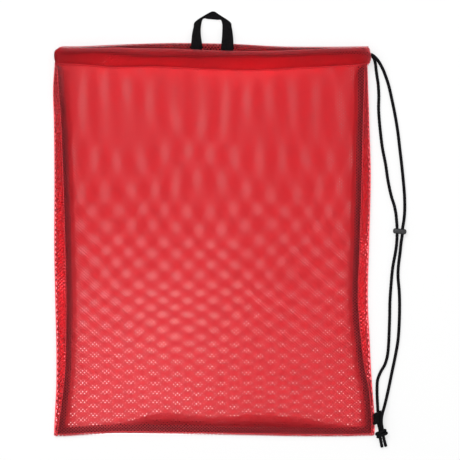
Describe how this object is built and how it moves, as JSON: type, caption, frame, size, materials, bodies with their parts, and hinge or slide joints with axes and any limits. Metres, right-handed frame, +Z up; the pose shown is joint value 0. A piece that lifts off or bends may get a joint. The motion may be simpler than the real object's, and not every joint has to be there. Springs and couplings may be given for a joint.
{
  "type": "mesh swim bag",
  "caption": "Flat drawstring bag of fine net with bound seams, a hem tunnel round the mouth, a webbing hang loop and a knotted cord with a sliding bead.",
  "frame": {"origin": "middle of the base of the bag as it lies flat, measured over the cloth, the hang loop and the side tab, without the free cord", "axes": "+X across the bag towards the side with the cord, +Y from the bottom seam to the mouth, +Z up from the surface it lies on"},
  "size_m": [0.4522, 0.5582, 0.0223],
  "materials": {
    "net": "fine open net of matte red yarn",
    "seam_tape": "matte black woven binding tape",
    "webbing": "black flat webbing",
    "cord": "black round braid",
    "slider_plastic": "dark grey moulded plastic"
  },
  "bodies": {
    "root": {"front_panel": "net", "back_panel": "net", "casing_front": "net", "casing_turn": "net", "casing_back": "net", "left_seam_tape": "seam_tape", "right_seam_tape": "seam_tape", "bottom_seam_tape": "seam_tape", "hang_loop": "webbing", "side_tab": "webbing", "cord_in_casing": "cord", "cord_outer_run": "cord", "cord_inner_run": "cord", "cord_tail_left": "cord", "cord_tail_right": "cord", "end_knot": "cord", "cord_slider": "slider_plastic"}
  },
  "joints": []
}
